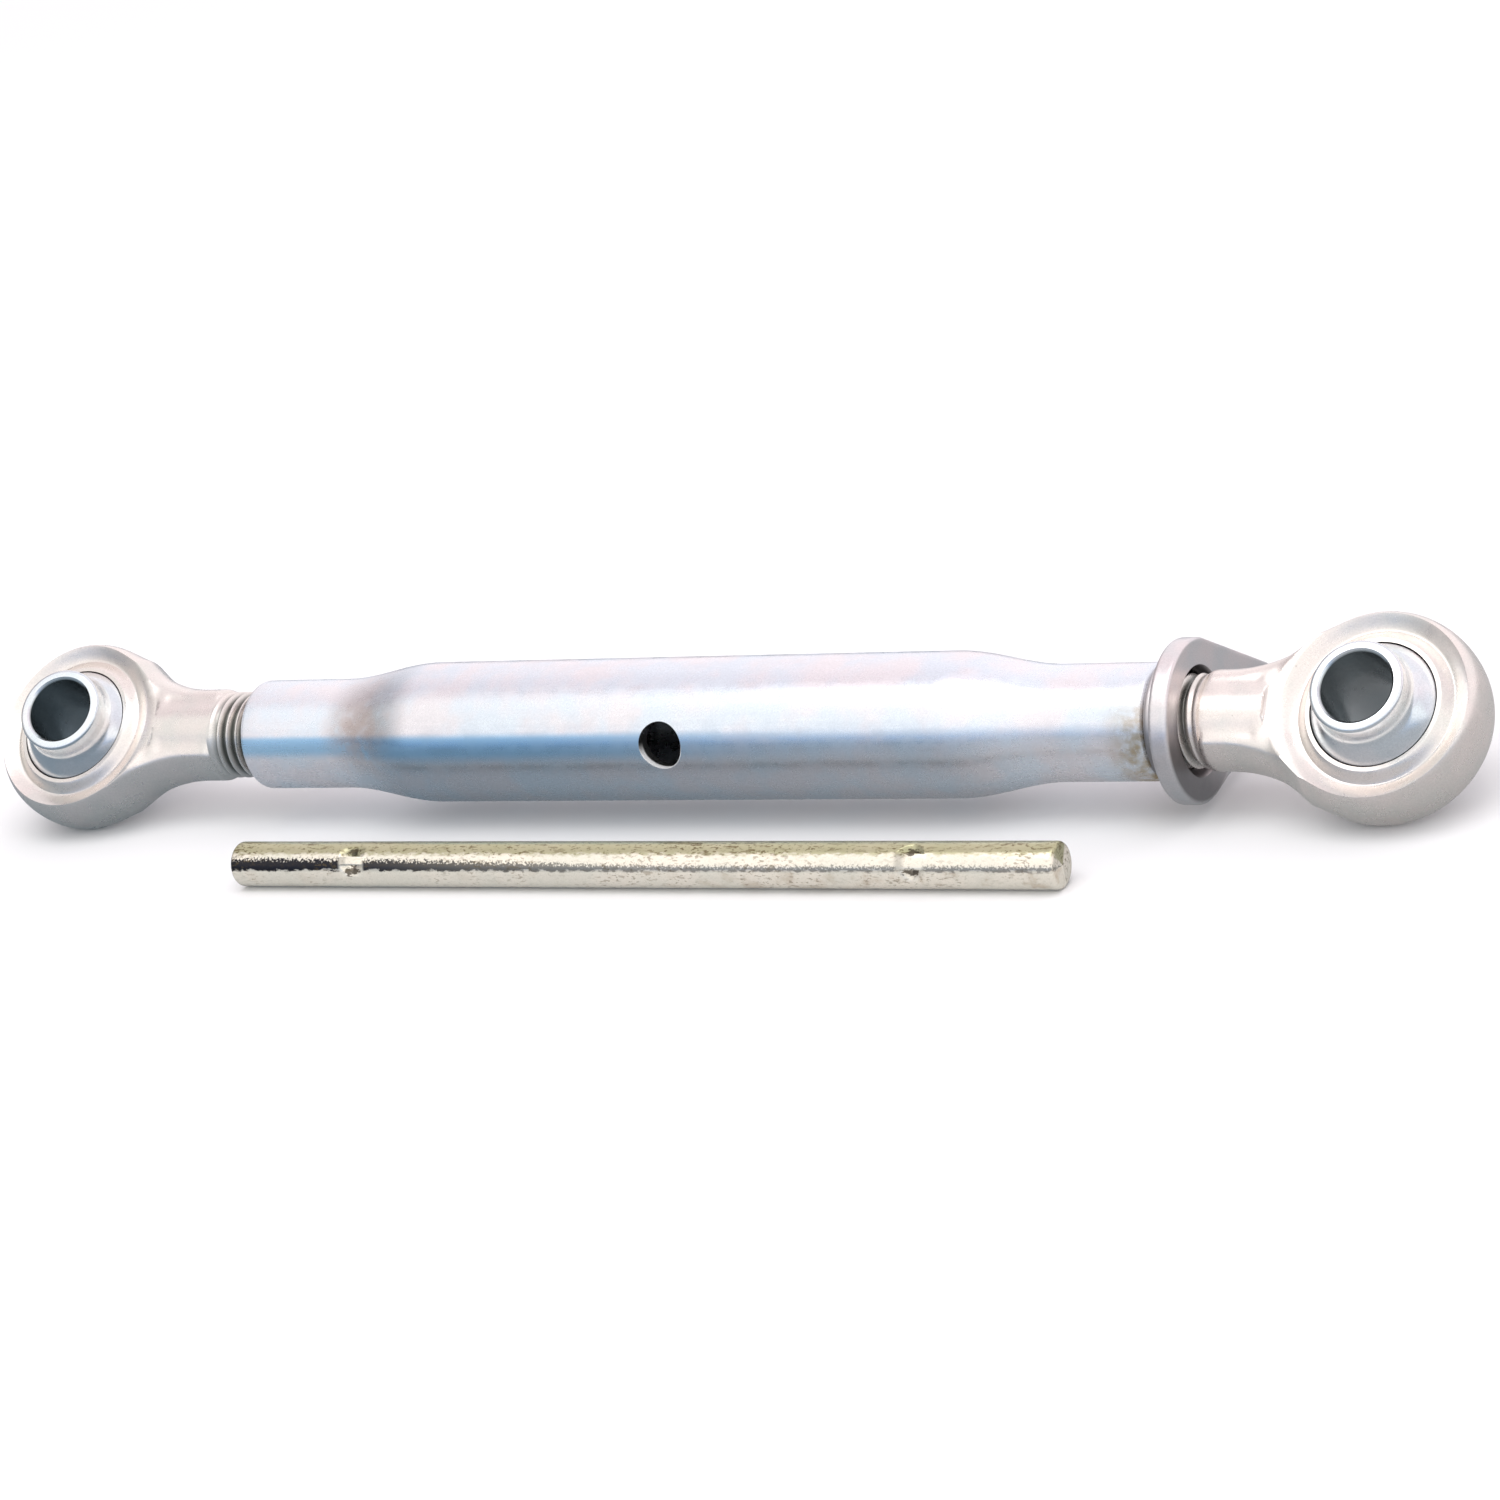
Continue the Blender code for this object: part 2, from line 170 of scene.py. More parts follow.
def link_matrix():
    """Link frame to world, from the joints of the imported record."""
    turn = joint_named("barrel_turn")
    across = joint_named("left_ball_swing")["axis"]
    roll = math.atan2(across[2], across[1])
    return Matrix.Translation(turn["pos_m"]) @ Matrix.Rotation(roll, 4, "X")


LINK = link_matrix()
LEFT_EYE = LINK @ Matrix.Translation(LINK.inverted() @ Vector(joint_named("left_ball_swing")["pos_m"]))
RIGHT_EYE = (LINK @ Matrix.Translation(LINK.inverted() @ Vector(joint_named("right_ball_swing")["pos_m"]))
             @ Matrix.Rotation(math.pi, 4, "Z"))


def left_ball_matrix():
    """The left ball lies tilted; its axis is the normal of its upper end face."""
    mount = next(m for m in frame["record"]["mounts"] if m["name"] == "left_ball_upper_face")
    axis = LINK.to_3x3().inverted() @ Vector(mount["axis"])
    return LEFT_EYE @ Matrix.Rotation(math.atan2(axis.x, axis.z), 4, "Y")


def bar_matrix():
    low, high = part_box("turning_bar")
    return Matrix.Translation((low + high) / 2)


# ---------------------------------------------------------------- mesh helpers

def make_mesh(name, points, faces):
    """A mesh from points in millimetres."""
    mesh = bpy.data.meshes.new(name)
    mesh.from_pydata((np.asarray(points) * MM).tolist(), [], [list(map(int, face)) for face in faces])
    return mesh


def tidy_mesh(mesh):
    """Joins double points, drops faces without area and turns every face outwards."""
    work = bmesh.new()
    work.from_mesh(mesh)
    bmesh.ops.remove_doubles(work, verts=work.verts, dist=1e-7)
    bmesh.ops.recalc_face_normals(work, faces=work.faces)
    work.to_mesh(mesh)
    work.free()
    return mesh


def make_object(name, mesh, place=None):
    item = bpy.data.objects.new(name, mesh)
    bpy.context.scene.collection.objects.link(item)
    if place:
        item.matrix_world = place
    return item


def cut(item, other, operation):
    """Applies a boolean with another mesh in the same frame, then removes the other."""
    modifier = item.modifiers.new("cut", "BOOLEAN")
    modifier.operation = operation
    modifier.solver = "MANIFOLD"
    modifier.object = other
    other.matrix_world = item.matrix_world
    bpy.context.view_layer.update()
    graph = bpy.context.evaluated_depsgraph_get()
    mesh = bpy.data.meshes.new_from_object(item.evaluated_get(graph))
    item.modifiers.clear()
    old = item.data
    item.data = mesh
    bpy.data.meshes.remove(old)
    bpy.data.objects.remove(other, do_unlink=True)


def arc(centre, radius, start, end, steps):
    """Points of an arc, angles in degrees, both ends included."""
    angles = np.radians(np.linspace(start, end, steps + 1))
    return [(centre[0] + radius * math.cos(a), centre[1] + radius * math.sin(a)) for a in angles]


def ease(share):
    share = np.clip(share, 0, 1)
    return share * share * (3 - 2 * share)


def ring_points(rows, sides):
    """Points of (radius, height) rows turned about Z."""
    angle = np.arange(sides) * TURN / sides
    radius = np.array([row[0] for row in rows])[:, None]
    height = np.array([row[1] for row in rows])[:, None]
    return np.stack([radius * np.cos(angle), radius * np.sin(angle), height + 0 * angle], -1)


def grid_faces(rows, sides, closed):
    """Quads between neighbouring rings of points."""
    faces = []
    for i in range(rows if closed else rows - 1):
        upper, lower = i * sides, (i + 1) % rows * sides
        for k in range(sides):
            after = (k + 1) % sides
            faces.append((upper + k, lower + k, lower + after, upper + after))
    return faces


def lathe(name, profile, sides, closed=True):
    """A profile turned about Z: a closed loop, or an open line that starts and ends on the axis."""
    points = ring_points(profile, sides).reshape(-1, 3)
    return tidy_mesh(make_mesh(name, points, grid_faces(len(profile), sides, closed)))


def along_x(mesh):
    """Turns a mesh made about Z so that its +Z is +X."""
    mesh.transform(Matrix.Rotation(math.pi / 2, 4, "Y"))
    return mesh


def cylinder(name, radius, low, high, sides):
    return lathe(name, [(0, high), (radius, high), (radius, low), (0, low)], sides, closed=False)


# ---------------------------------------------------------------- surface nets

def project(points, field, steps):
    """Moves points along the field's slope until they lie on its zero surface."""
    small = 1e-3
    for _ in range(steps):
        value = field(points)
        slope = np.stack([field(points + small * axis) - field(points - small * axis)
                          for axis in np.eye(3)], -1) / (2 * small)
        length = np.maximum((slope ** 2).sum(-1), 1e-6)
        points = points - slope * (value / length)[:, None]
    return points


def relax(points, faces, field, rounds):
    """Evens out the spacing of the points while they stay on the surface."""
    ends = np.concatenate([faces[:, [0, 1]], faces[:, [1, 2]], faces[:, [2, 3]], faces[:, [3, 0]]])
    count = np.bincount(ends[:, 0], minlength=len(points)) + np.bincount(ends[:, 1], minlength=len(points))
    for _ in range(rounds):
        total = np.zeros_like(points)
        for axis in range(3):
            total[:, axis] = (np.bincount(ends[:, 0], points[ends[:, 1], axis], len(points))
                              + np.bincount(ends[:, 1], points[ends[:, 0], axis], len(points)))
        points = project((points + total / count[:, None]) / 2, field, 1)
    return project(points, field, 2)


def surface_net(name, field, low, high, step):
    """Closed mesh of the surface where the field is zero, inside the box from low to high."""
    counts = np.ceil((np.array(high) - low) / step).astype(int) + 1
    grid = np.array(low) + step * np.stack(np.meshgrid(*map(np.arange, counts), indexing="ij"), -1)
    inside = field(grid) < 0
    cells = counts - 1
    corners = np.zeros(cells, int)
    for shift in np.ndindex(2, 2, 2):
        corners += inside[tuple(slice(s, s + n) for s, n in zip(shift, cells))]
    mixed = (corners > 0) & (corners < 8)
    index = np.full(tuple(cells), -1)
    index[mixed] = np.arange(mixed.sum())
    faces = []
    for a in range(3):
        b, c = (a + 1) % 3, (a + 2) % 3
        near = [slice(1, -1)] * 3
        far = [slice(1, -1)] * 3
        near[a], far[a] = slice(0, -1), slice(1, None)
        first, second = inside[tuple(near)], inside[tuple(far)]
        for crossing, outward in ((first & ~second, 1), (second & ~first, -1)):
            at = np.argwhere(crossing)
            at[:, [b, c]] += 1
            quad = []
            for step_b, step_c in ((-1, -1), (0, -1), (0, 0), (-1, 0)):
                cell = at.copy()
                cell[:, b] += step_b
                cell[:, c] += step_c
                quad.append(index[tuple(cell.T)])
            faces.append(np.stack(quad, 1)[:, ::outward])
    faces = np.concatenate(faces)
    start = np.array(low) + step * (np.argwhere(mixed) + 0.5)
    points = relax(project(start, field, 3), faces, field, 4)
    return make_mesh(name, points, faces)


def join_max(a, b, blend):
    overlap = np.maximum(blend - np.abs(a - b), 0) / blend
    return np.maximum(a, b) + overlap * overlap * blend / 4


def join_min(a, b, blend):
    return -join_max(-a, -b, blend)


# ---------------------------------------------------------------- thread

def thread_profile():
    """(share of the pitch, share of the depth) over one pitch, crest first, corners eased."""
    return [(0.00, 0.02), (0.015, 0.0), (0.06, 0.0), (0.105, 0.0), (0.12, 0.02), (0.20, 0.26),
            (0.36, 0.74), (0.44, 0.96), (0.475, 1.0), (0.56, 1.0), (0.645, 1.0), (0.68, 0.96),
            (0.76, 0.74), (0.92, 0.26)]


def threaded_rod(name, start, end, hand):
    """A rod along X with a helical thread: hand is 1 for right-hand and -1 for left-hand."""
    profile = thread_profile()
    width = len(profile)
    first = start - 1.5 * PITCH
    turns = math.ceil((end + 1.5 * PITCH - first) / PITCH)
    count = turns * THREAD_SIDES + 1
    i = np.arange(count)[:, None]
    share = np.array([p[0] for p in profile])
    depth = THREAD_DEPTH * np.array([p[1] for p in profile])
    x = first + PITCH * (i / THREAD_SIDES + share)
    angle = hand * TURN * i / THREAD_SIDES + 0 * x
    fade = ease((x - start) / THREAD_RUNOUT)
    radius = THREAD_RADIUS - depth * fade
    radius = np.minimum(radius, THREAD_RADIUS - (x - (end - SHANK_CHAMFER)))
    points = np.stack([x, radius * np.cos(angle), radius * np.sin(angle)], -1).reshape(-1, 3)
    faces = []
    for row in range(count - 1):
        for v in range(width):
            if v < width - 1:
                after = (row * width + v + 1, (row + 1) * width + v + 1)
            elif row + 1 + THREAD_SIDES < count:
                after = ((row + THREAD_SIDES) * width, (row + 1 + THREAD_SIDES) * width)
            else:
                continue
            faces.append((row * width + v, (row + 1) * width + v, after[1], after[0]))
    mesh = make_mesh(name, points, faces)
    work = bmesh.new()
    work.from_mesh(mesh)
    for where, direction in ((start, -1), (end, 1)):
        everything = work.verts[:] + work.edges[:] + work.faces[:]
        made = bmesh.ops.bisect_plane(work, geom=everything, plane_co=(where * MM, 0, 0),
                                      plane_no=(direction, 0, 0), clear_outer=True)
        edges = [item for item in made["geom_cut"] if isinstance(item, bmesh.types.BMEdge)]
        bmesh.ops.contextual_create(work, geom=edges)
    bmesh.ops.recalc_face_normals(work, faces=work.faces)
    work.to_mesh(mesh)
    work.free()
    return mesh


# ---------------------------------------------------------------- tube

def swage(start_radius, end_radius, steps):
    """The shoulder between the middle and the swaged end."""
    share = np.linspace(0, 1, steps + 1)
    radius = start_radius + (end_radius - start_radius) * (1 - np.cos(math.pi * share)) / 2
    return list(zip(radius, FLARE_INNER + (FLARE_OUTER - FLARE_INNER) * share))


def straight(start, end, steps):
    """Points between two points, without the ends."""
    shares = np.linspace(0, 1, steps + 1)[1:-1]
    return [(start[0] + (end[0] - start[0]) * s, start[1] + (end[1] - start[1]) * s) for s in shares]


def tube_profile():
    """Outer side from +X to -X, then back up the bore."""
    corner = arc((TUBE_END_RADIUS - TUBE_CORNER, TUBE_HALF - TUBE_CORNER), TUBE_CORNER, 90, 0, 8)
    flare = swage(TUBE_RADIUS, TUBE_END_RADIUS, 24)[::-1]
    half = corner + straight(corner[-1], flare[0], 6) + flare
    middle = straight(flare[-1], (TUBE_RADIUS, -FLARE_INNER), 28)
    outer = half + middle + [(r, -x) for r, x in reversed(half)]
    bore_half = swage(TUBE_BORE, TAPPED_RADIUS, 12)
    bore_half += [(TAPPED_RADIUS, TUBE_HALF - COUNTERSINK), (TAPPED_RADIUS + COUNTERSINK, TUBE_HALF)]
    return outer + [(r, -x) for r, x in reversed(bore_half)] + bore_half


def make_tube(material):
    tube = make_object("tube", along_x(lathe("tube", tube_profile(), TUBE_SIDES)), LINK)
    hole = cylinder("cross_hole", CROSS_HOLE_RADIUS, -2 * TUBE_RADIUS, 2 * TUBE_RADIUS, HOLE_SIDES)
    hole.transform(Matrix.Rotation(CROSS_HOLE_ANGLE, 4, "X"))
    cut(tube, make_object("cross_hole", hole), "DIFFERENCE")
    finished(tube, material, "barrel", "barrel_tube")


# ---------------------------------------------------------------- eye ends

def eye_field(neck_end):
    """Distance-like field of the forging: rounded disc, flattened neck and plain start of the shank."""
    fillet_y = NECK_RADIUS + HOLLOW_RADIUS
    fillet_x = math.sqrt((EYE_RADIUS + HOLLOW_RADIUS) ** 2 - fillet_y ** 2)
    tangent_x = fillet_x * EYE_RADIUS / (EYE_RADIUS + HOLLOW_RADIUS)
    rim_width = EYE_RADIUS - EYE_RIM
    pad_middle, pad_half = (PAD_INNER + PAD_OUTER) / 2, (PAD_OUTER - PAD_INNER) / 2

    def field(points):
        x, y, z = points[..., 0], np.abs(points[..., 1]), np.abs(points[..., 2])
        out = np.maximum(np.hypot(x, y) - EYE_RIM, 0)
        value = np.hypot(out / rim_width, z / EYE_HALF)             # 1 on the elliptic rim
        steepness = np.hypot(out / rim_width ** 2, z / EYE_HALF ** 2)
        disc = value * (value - 1) / np.maximum(steepness, 1e-6)
        along = np.clip(x, tangent_x, fillet_x)
        width = fillet_y - np.sqrt(HOLLOW_RADIUS ** 2 - (along - fillet_x) ** 2)
        spread = width - NECK_RADIUS + NECK_SHOULDER
        side = np.hypot(np.maximum(y - spread, 0), z) - NECK_RADIUS
        reach = np.abs(np.hypot(x, y) - pad_middle) - pad_half
        pad = PAD_RISE * ease(0.5 - reach / PAD_RAMP) * ease((PAD_HALF_WIDTH - y) / PAD_END_RAMP)
        neck = join_max(side, z - NECK_FLAT - pad, FLAT_BLEND)
        neck = join_max(neck, x - neck_end, NECK_END_BLEND)
        neck = join_max(neck, -x, NECK_START_BLEND)
        root = np.maximum(np.hypot(y, z) - (THREAD_RADIUS - ROOT_INSET), x - neck_end - ROOT_LENGTH)
        root = np.maximum(root, ROOT_START - x)
        return join_min(join_min(disc, neck, DISC_BLEND), root, ROOT_INSET)

    return field


def slope(low_radius, high_radius, height, steps):
    """Points from the bottom of the dish up to the given height, eased a little at both ends."""
    points = []
    for share in np.linspace(0, 1, steps + 1):
        rise = 0.75 * share + 0.25 * float(ease(share))
        points.append((low_radius + (high_radius - low_radius) * share,
                       GROOVE_BOTTOM + (height - GROOVE_BOTTOM) * rise))
    return points


def groove_profile():
    """Cutter for one face: the dish between the rim and the lip, and all that lies above it."""
    top = EYE_HALF + 4
    outside = CREST_RADIUS + 3
    outer = slope(GROOVE_OUTER, CREST_RADIUS, CREST_HEIGHT, 14)[::-1]
    inner = slope(GROOVE_INNER, LIP_OUTER, LIP_HEIGHT, 12)
    start = [(outside, top), (outside, CREST_HEIGHT)]
    return start + outer + inner + [(LIP_INNER, LIP_HEIGHT), (LIP_INNER, top)]


def sphere_profile(radius, steps):
    return [(0.0, radius)] + arc((0, 0), radius, 90 - 90 / steps, -90 + 90 / steps, 2 * steps - 2) + [
        (0.0, -radius)]


def make_eye(name, neck_end, hand, place, body, material, node):
    margin = 2.0
    low = (-EYE_RADIUS - margin, -EYE_RADIUS - margin, -NECK_RADIUS - margin)
    high = (neck_end + ROOT_LENGTH + margin, EYE_RADIUS + margin, NECK_RADIUS + margin)
    eye = make_object(name, surface_net(name, eye_field(neck_end), low, high, EYE_STEP), place)
    rod = threaded_rod("thread", neck_end - THREAD_OVERLAP, SHANK_END, hand)
    cut(eye, make_object("thread", rod), "UNION")
    socket = lathe("socket", sphere_profile(SOCKET_RADIUS, 40), CUTTER_SIDES, closed=False)
    cut(eye, make_object("socket", socket), "DIFFERENCE")
    for side in (0, math.pi):
        groove = lathe("groove", groove_profile(), CUTTER_SIDES)
        groove.transform(Matrix.Rotation(side, 4, "X"))
        cut(eye, make_object("groove", groove), "DIFFERENCE")
    finished(eye, material, body, node)


# ---------------------------------------------------------------- balls

def ball_profile():
    """Outer side from the upper end face to the lower one, then up the bore."""
    junction = math.sqrt(BALL_RADIUS ** 2 - COLLAR_RADIUS ** 2)
    start = math.degrees(math.atan2(junction - COLLAR_FILLET * 0.5, COLLAR_RADIUS + COLLAR_FILLET * 0.7))
    rim = arc((COLLAR_RADIUS - COLLAR_ROUND, BALL_HALF_WIDTH - COLLAR_ROUND), COLLAR_ROUND, 90, 0, 6)
    foot = (COLLAR_RADIUS, junction + COLLAR_FILLET)
    sphere = arc((0, 0), BALL_RADIUS, start, -start, 48)
    corner = (COLLAR_RADIUS, junction)
    hollow = []
    for share in np.linspace(0, 1, 8)[1:-1]:
        a, b, c = (1 - share) ** 2, 2 * share * (1 - share), share ** 2
        hollow.append(tuple(a * p + b * q + c * r for p, q, r in zip(foot, corner, sphere[0])))
    upper = rim + [foot] + hollow
    lower = [(r, -z) for r, z in reversed(upper)]
    mouth = [(BORE_RADIUS, BALL_HALF_WIDTH - BORE_CHAMFER), (BORE_RADIUS + BORE_CHAMFER, BALL_HALF_WIDTH)]
    bore = [(r, -z) for r, z in reversed(mouth)] + mouth
    return upper + sphere + lower + bore


def make_ball(name, place, body, material, node):
    ball = make_object(name, lathe(name, ball_profile(), BALL_SIDES), place)
    finished(ball, material, body, node)


# ---------------------------------------------------------------- lock nut

def nut_field(points):
    """Pear plate with rounded edges, joined to a round hub."""
    x = points[..., 0]
    along = -points[..., 2] * math.cos(LUG_ANGLE) + points[..., 1] * math.sin(LUG_ANGLE)
    across = np.abs(points[..., 2] * math.sin(LUG_ANGLE) + points[..., 1] * math.cos(LUG_ANGLE))
    lean = (NUT_RADIUS - LUG_TIP) / LUG_REACH
    upright = math.sqrt(1 - lean * lean)
    place = upright * along - lean * across
    body = across * upright + along * lean - NUT_RADIUS
    tip = np.hypot(across, along - LUG_REACH) - LUG_TIP
    outline = np.where(place < 0, np.hypot(across, along) - NUT_RADIUS,
                       np.where(place > upright * LUG_REACH, tip, body))
    half = (NUT_END - NUT_START) / 2
    flat = np.abs(x - (NUT_START + NUT_END) / 2) - half
    out_a, out_b = outline + NUT_EDGE, flat + NUT_EDGE
    plate = (np.hypot(np.maximum(out_a, 0), np.maximum(out_b, 0))
             + np.minimum(np.maximum(out_a, out_b), 0) - NUT_EDGE)
    radius = np.hypot(points[..., 1], points[..., 2])
    hub = join_max(radius - NUT_HUB_RADIUS, NUT_HUB_START - x, NUT_HUB_EDGE)
    hub = np.maximum(hub, x - NUT_END + 1)
    return join_min(plate, hub, NUT_HUB_FILLET)


def make_nut(material):
    reach = LUG_REACH + LUG_TIP + 2
    low = (NUT_HUB_START - 1.5, -NUT_RADIUS - 2, -reach)
    high = (NUT_END + 1.5, reach, NUT_RADIUS + 2)
    nut = make_object("pear_nut", surface_net("pear_nut", nut_field, low, high, NUT_STEP), LINK)
    profile = [(0, NUT_END + 1), (NUT_COUNTERSINK, NUT_END + 1), (NUT_COUNTERSINK, NUT_END),
               (TAPPED_RADIUS, NUT_END - NUT_COUNTERSINK_DEPTH), (TAPPED_RADIUS, NUT_HUB_START + 1),
               (TAPPED_RADIUS + 2, NUT_HUB_START - 1), (0, NUT_HUB_START - 1)]
    bore = lathe("bore", profile, CUTTER_SIDES, closed=False)
    cut(nut, make_object("bore", along_x(bore)), "DIFFERENCE")
    finished(nut, material, "lock_nut", "lock_nut")


# ---------------------------------------------------------------- turning bar

def crimp_shape(x, around, ear_half, rounded):
    """Height of a crimp above the bar: an ear between two notches pushed in by the crimping tool.

    Notches are four-sided, but the one on the positive side is round if rounded is true.
    """
    along = np.abs(x) / CRIMP_HALF_LENGTH
    out = np.abs(around) - ear_half
    run = np.clip(out / CRIMP_SPREAD, 0, None)
    pyramid = np.clip(1 - along, 0, 1) * np.clip(1 - run, 0, 1)
    round_notch = np.clip(1 - along ** 2 - run ** 1.3, 0, 1)
    notch = -CRIMP_DEPTH * np.where((around > 0) & rounded, round_notch, pyramid * 1.35)
    ear = EAR_RISE * ease(1.25 - along) * ease((ear_half + 0.5 - np.abs(around)) / 0.8)
    return np.where(out > 0, notch, 0) + ear


def bar_rows():
    """Stations along the bar: close together at the crimps, apart elsewhere."""
    near = np.arange(-CRIMP_REACH, CRIMP_REACH + 0.01, CRIMP_STEP)
    straight_end = BAR_HALF - BAR_ROUND
    stations = set(np.round(np.linspace(-straight_end, straight_end, BAR_STATIONS), 3))
    for centre in (-CRIMP_X, CRIMP_X):
        stations = {x for x in stations if abs(x - centre) > CRIMP_REACH + 0.2}
        stations |= set(np.round(centre + near, 3))
    return sorted(stations)


def make_bar(material):
    ends = arc((BAR_RADIUS - BAR_ROUND, 0), BAR_ROUND, 90, 0, 6)
    first = [(r, -BAR_HALF + BAR_ROUND - h) for r, h in ends]
    last = [(r, BAR_HALF - BAR_ROUND + h) for r, h in reversed(ends)]
    inner = [(BAR_RADIUS, x) for x in bar_rows()[1:-1]]
    rows = [(0.0, -BAR_HALF)] + first + inner + last + [(0.0, BAR_HALF)]
    rows.reverse()
    radius = np.array([r for r, _ in rows])[:, None]
    x = np.array([h for _, h in rows])[:, None]
    angle = np.arange(BAR_SIDES) * TURN / BAR_SIDES
    height = 0 * (x + angle)
    for centre, ear_half, ear_angle, rounded in CRIMPS:
        for opposite in (0, 180):
            facing = math.radians(180 - ear_angle + opposite)
            around = ((angle - facing + math.pi) % TURN - math.pi) * BAR_RADIUS
            crimp = crimp_shape(x - centre, -around, ear_half, rounded)
            height = height + crimp * (np.abs(x - centre) < CRIMP_REACH)
    wall = radius + np.where(radius > BAR_RADIUS - 0.01, height, 0)
    points = np.stack([x + 0 * angle, wall * np.cos(angle), wall * np.sin(angle)], -1).reshape(-1, 3)
    mesh = tidy_mesh(make_mesh("bar", points, grid_faces(len(rows), BAR_SIDES, closed=False)))
    bar = make_object("cross_bar", mesh, bar_matrix())
    bar.visible_glossy = False      # the tube is lit as if the bar had been laid down afterwards
    finished(bar, material, "turning_bar", "turning_bar")


# ---------------------------------------------------------------- materials

class Nodes:
    """Adds nodes to a tree; an input is a value or another node's output."""

    def __init__(self, tree):
        self.tree = tree

    def connect(self, node, values):
        for key, value in values.items():
            if isinstance(value, bpy.types.NodeSocket):
                self.tree.links.new(value, node.inputs[key])
            else:
                node.inputs[key].default_value = value

    def add(self, kind, values=None, **settings):
        node = self.tree.nodes.new(kind)
        for key, value in settings.items():
            setattr(node, key, value)
        self.connect(node, values or {})
        return node

    def math(self, operation, a, b=0.0, clamp=False):
        return self.add("ShaderNodeMath", {0: a, 1: b}, operation=operation, use_clamp=clamp).outputs[0]

    def times(self, a, b, clamp=False):
        return self.math("MULTIPLY", a, b, clamp)

    def plus(self, a, b):
        return self.math("ADD", a, b)

    def step(self, value, low, high, start=0.0, end=1.0):
        """Eases from start to end as the value goes from low to high."""
        return self.add("ShaderNodeMapRange", {0: value, 1: low, 2: high, 3: start, 4: end},
                        interpolation_type="SMOOTHSTEP").outputs[0]

    def mix(self, share, a, b):
        return self.add("ShaderNodeMix", {0: share, 6: a, 7: b}, data_type="RGBA").outputs[2]


class Graph(Nodes):
    """A piece's material, worked out from places in the piece's own frame, in metres."""

    def __init__(self, name, metallic=1.0):
        self.material = bpy.data.materials.new(name)
        self.material.use_nodes = True
        super().__init__(self.material.node_tree)
        self.shader = self.tree.nodes["Principled BSDF"]
        self.shader.inputs["Metallic"].default_value = metallic
        self.place = self.add("ShaderNodeAttribute", attribute_name="own_place").outputs["Vector"]
        self.axes = self.add("ShaderNodeSeparateXYZ", {0: self.place}).outputs

    def vector(self, operation, a, b=(0, 0, 0)):
        return self.add("ShaderNodeVectorMath", {0: a, 1: b}, operation=operation).outputs

    def length(self, a, b):
        """Distance from the axis that a and b are measured from."""
        return self.vector("LENGTH", self.add("ShaderNodeCombineXYZ", {0: a, 1: b}).outputs[0])["Value"]

    def noise(self, size, detail=2.0, stretch=(1, 1, 1), rough=0.55):
        """Noise with features of about the given size in millimetres."""
        where = self.place
        if stretch != (1, 1, 1):
            where = self.vector("MULTIPLY", where, stretch)[0]
        return self.add("ShaderNodeTexNoise", {"Vector": where, "Scale": 1 / (size * MM), "Detail": detail,
                                               "Roughness": rough}).outputs["Fac"]

    def bump(self, first, first_share, second, second_share, strength, depth):
        """Bump made of two heights, depth millimetres at its full height."""
        height = self.plus(self.times(first, first_share), self.times(second, second_share))
        return self.add("ShaderNodeBump", {"Height": height, "Strength": strength, "Distance": depth * MM}
                        ).outputs["Normal"]

    def finish(self, tint, rough, normal):
        self.connect(self.shader, {"Base Color": tint, "Roughness": rough, "Normal": normal})
        return self.material


def colour(r, g, b):
    return (r, g, b, 1.0)


def plated(graph, cool, warm, rough_low, rough_high):
    """Zinc plate: cloudy passivation tints, fine grain and a satin finish that varies."""
    clouds = graph.step(graph.noise(14, 3), 0.35, 0.65)
    tint = graph.mix(clouds, colour(*cool), colour(*warm))
    grain = graph.noise(0.45, 2)
    tint = graph.vector("MULTIPLY", tint, graph.step(grain, 0.25, 0.75, 0.93, 1.04))[0]
    rough = graph.step(graph.noise(5, 4), 0.3, 0.7, rough_low, rough_high)
    return tint, rough, grain


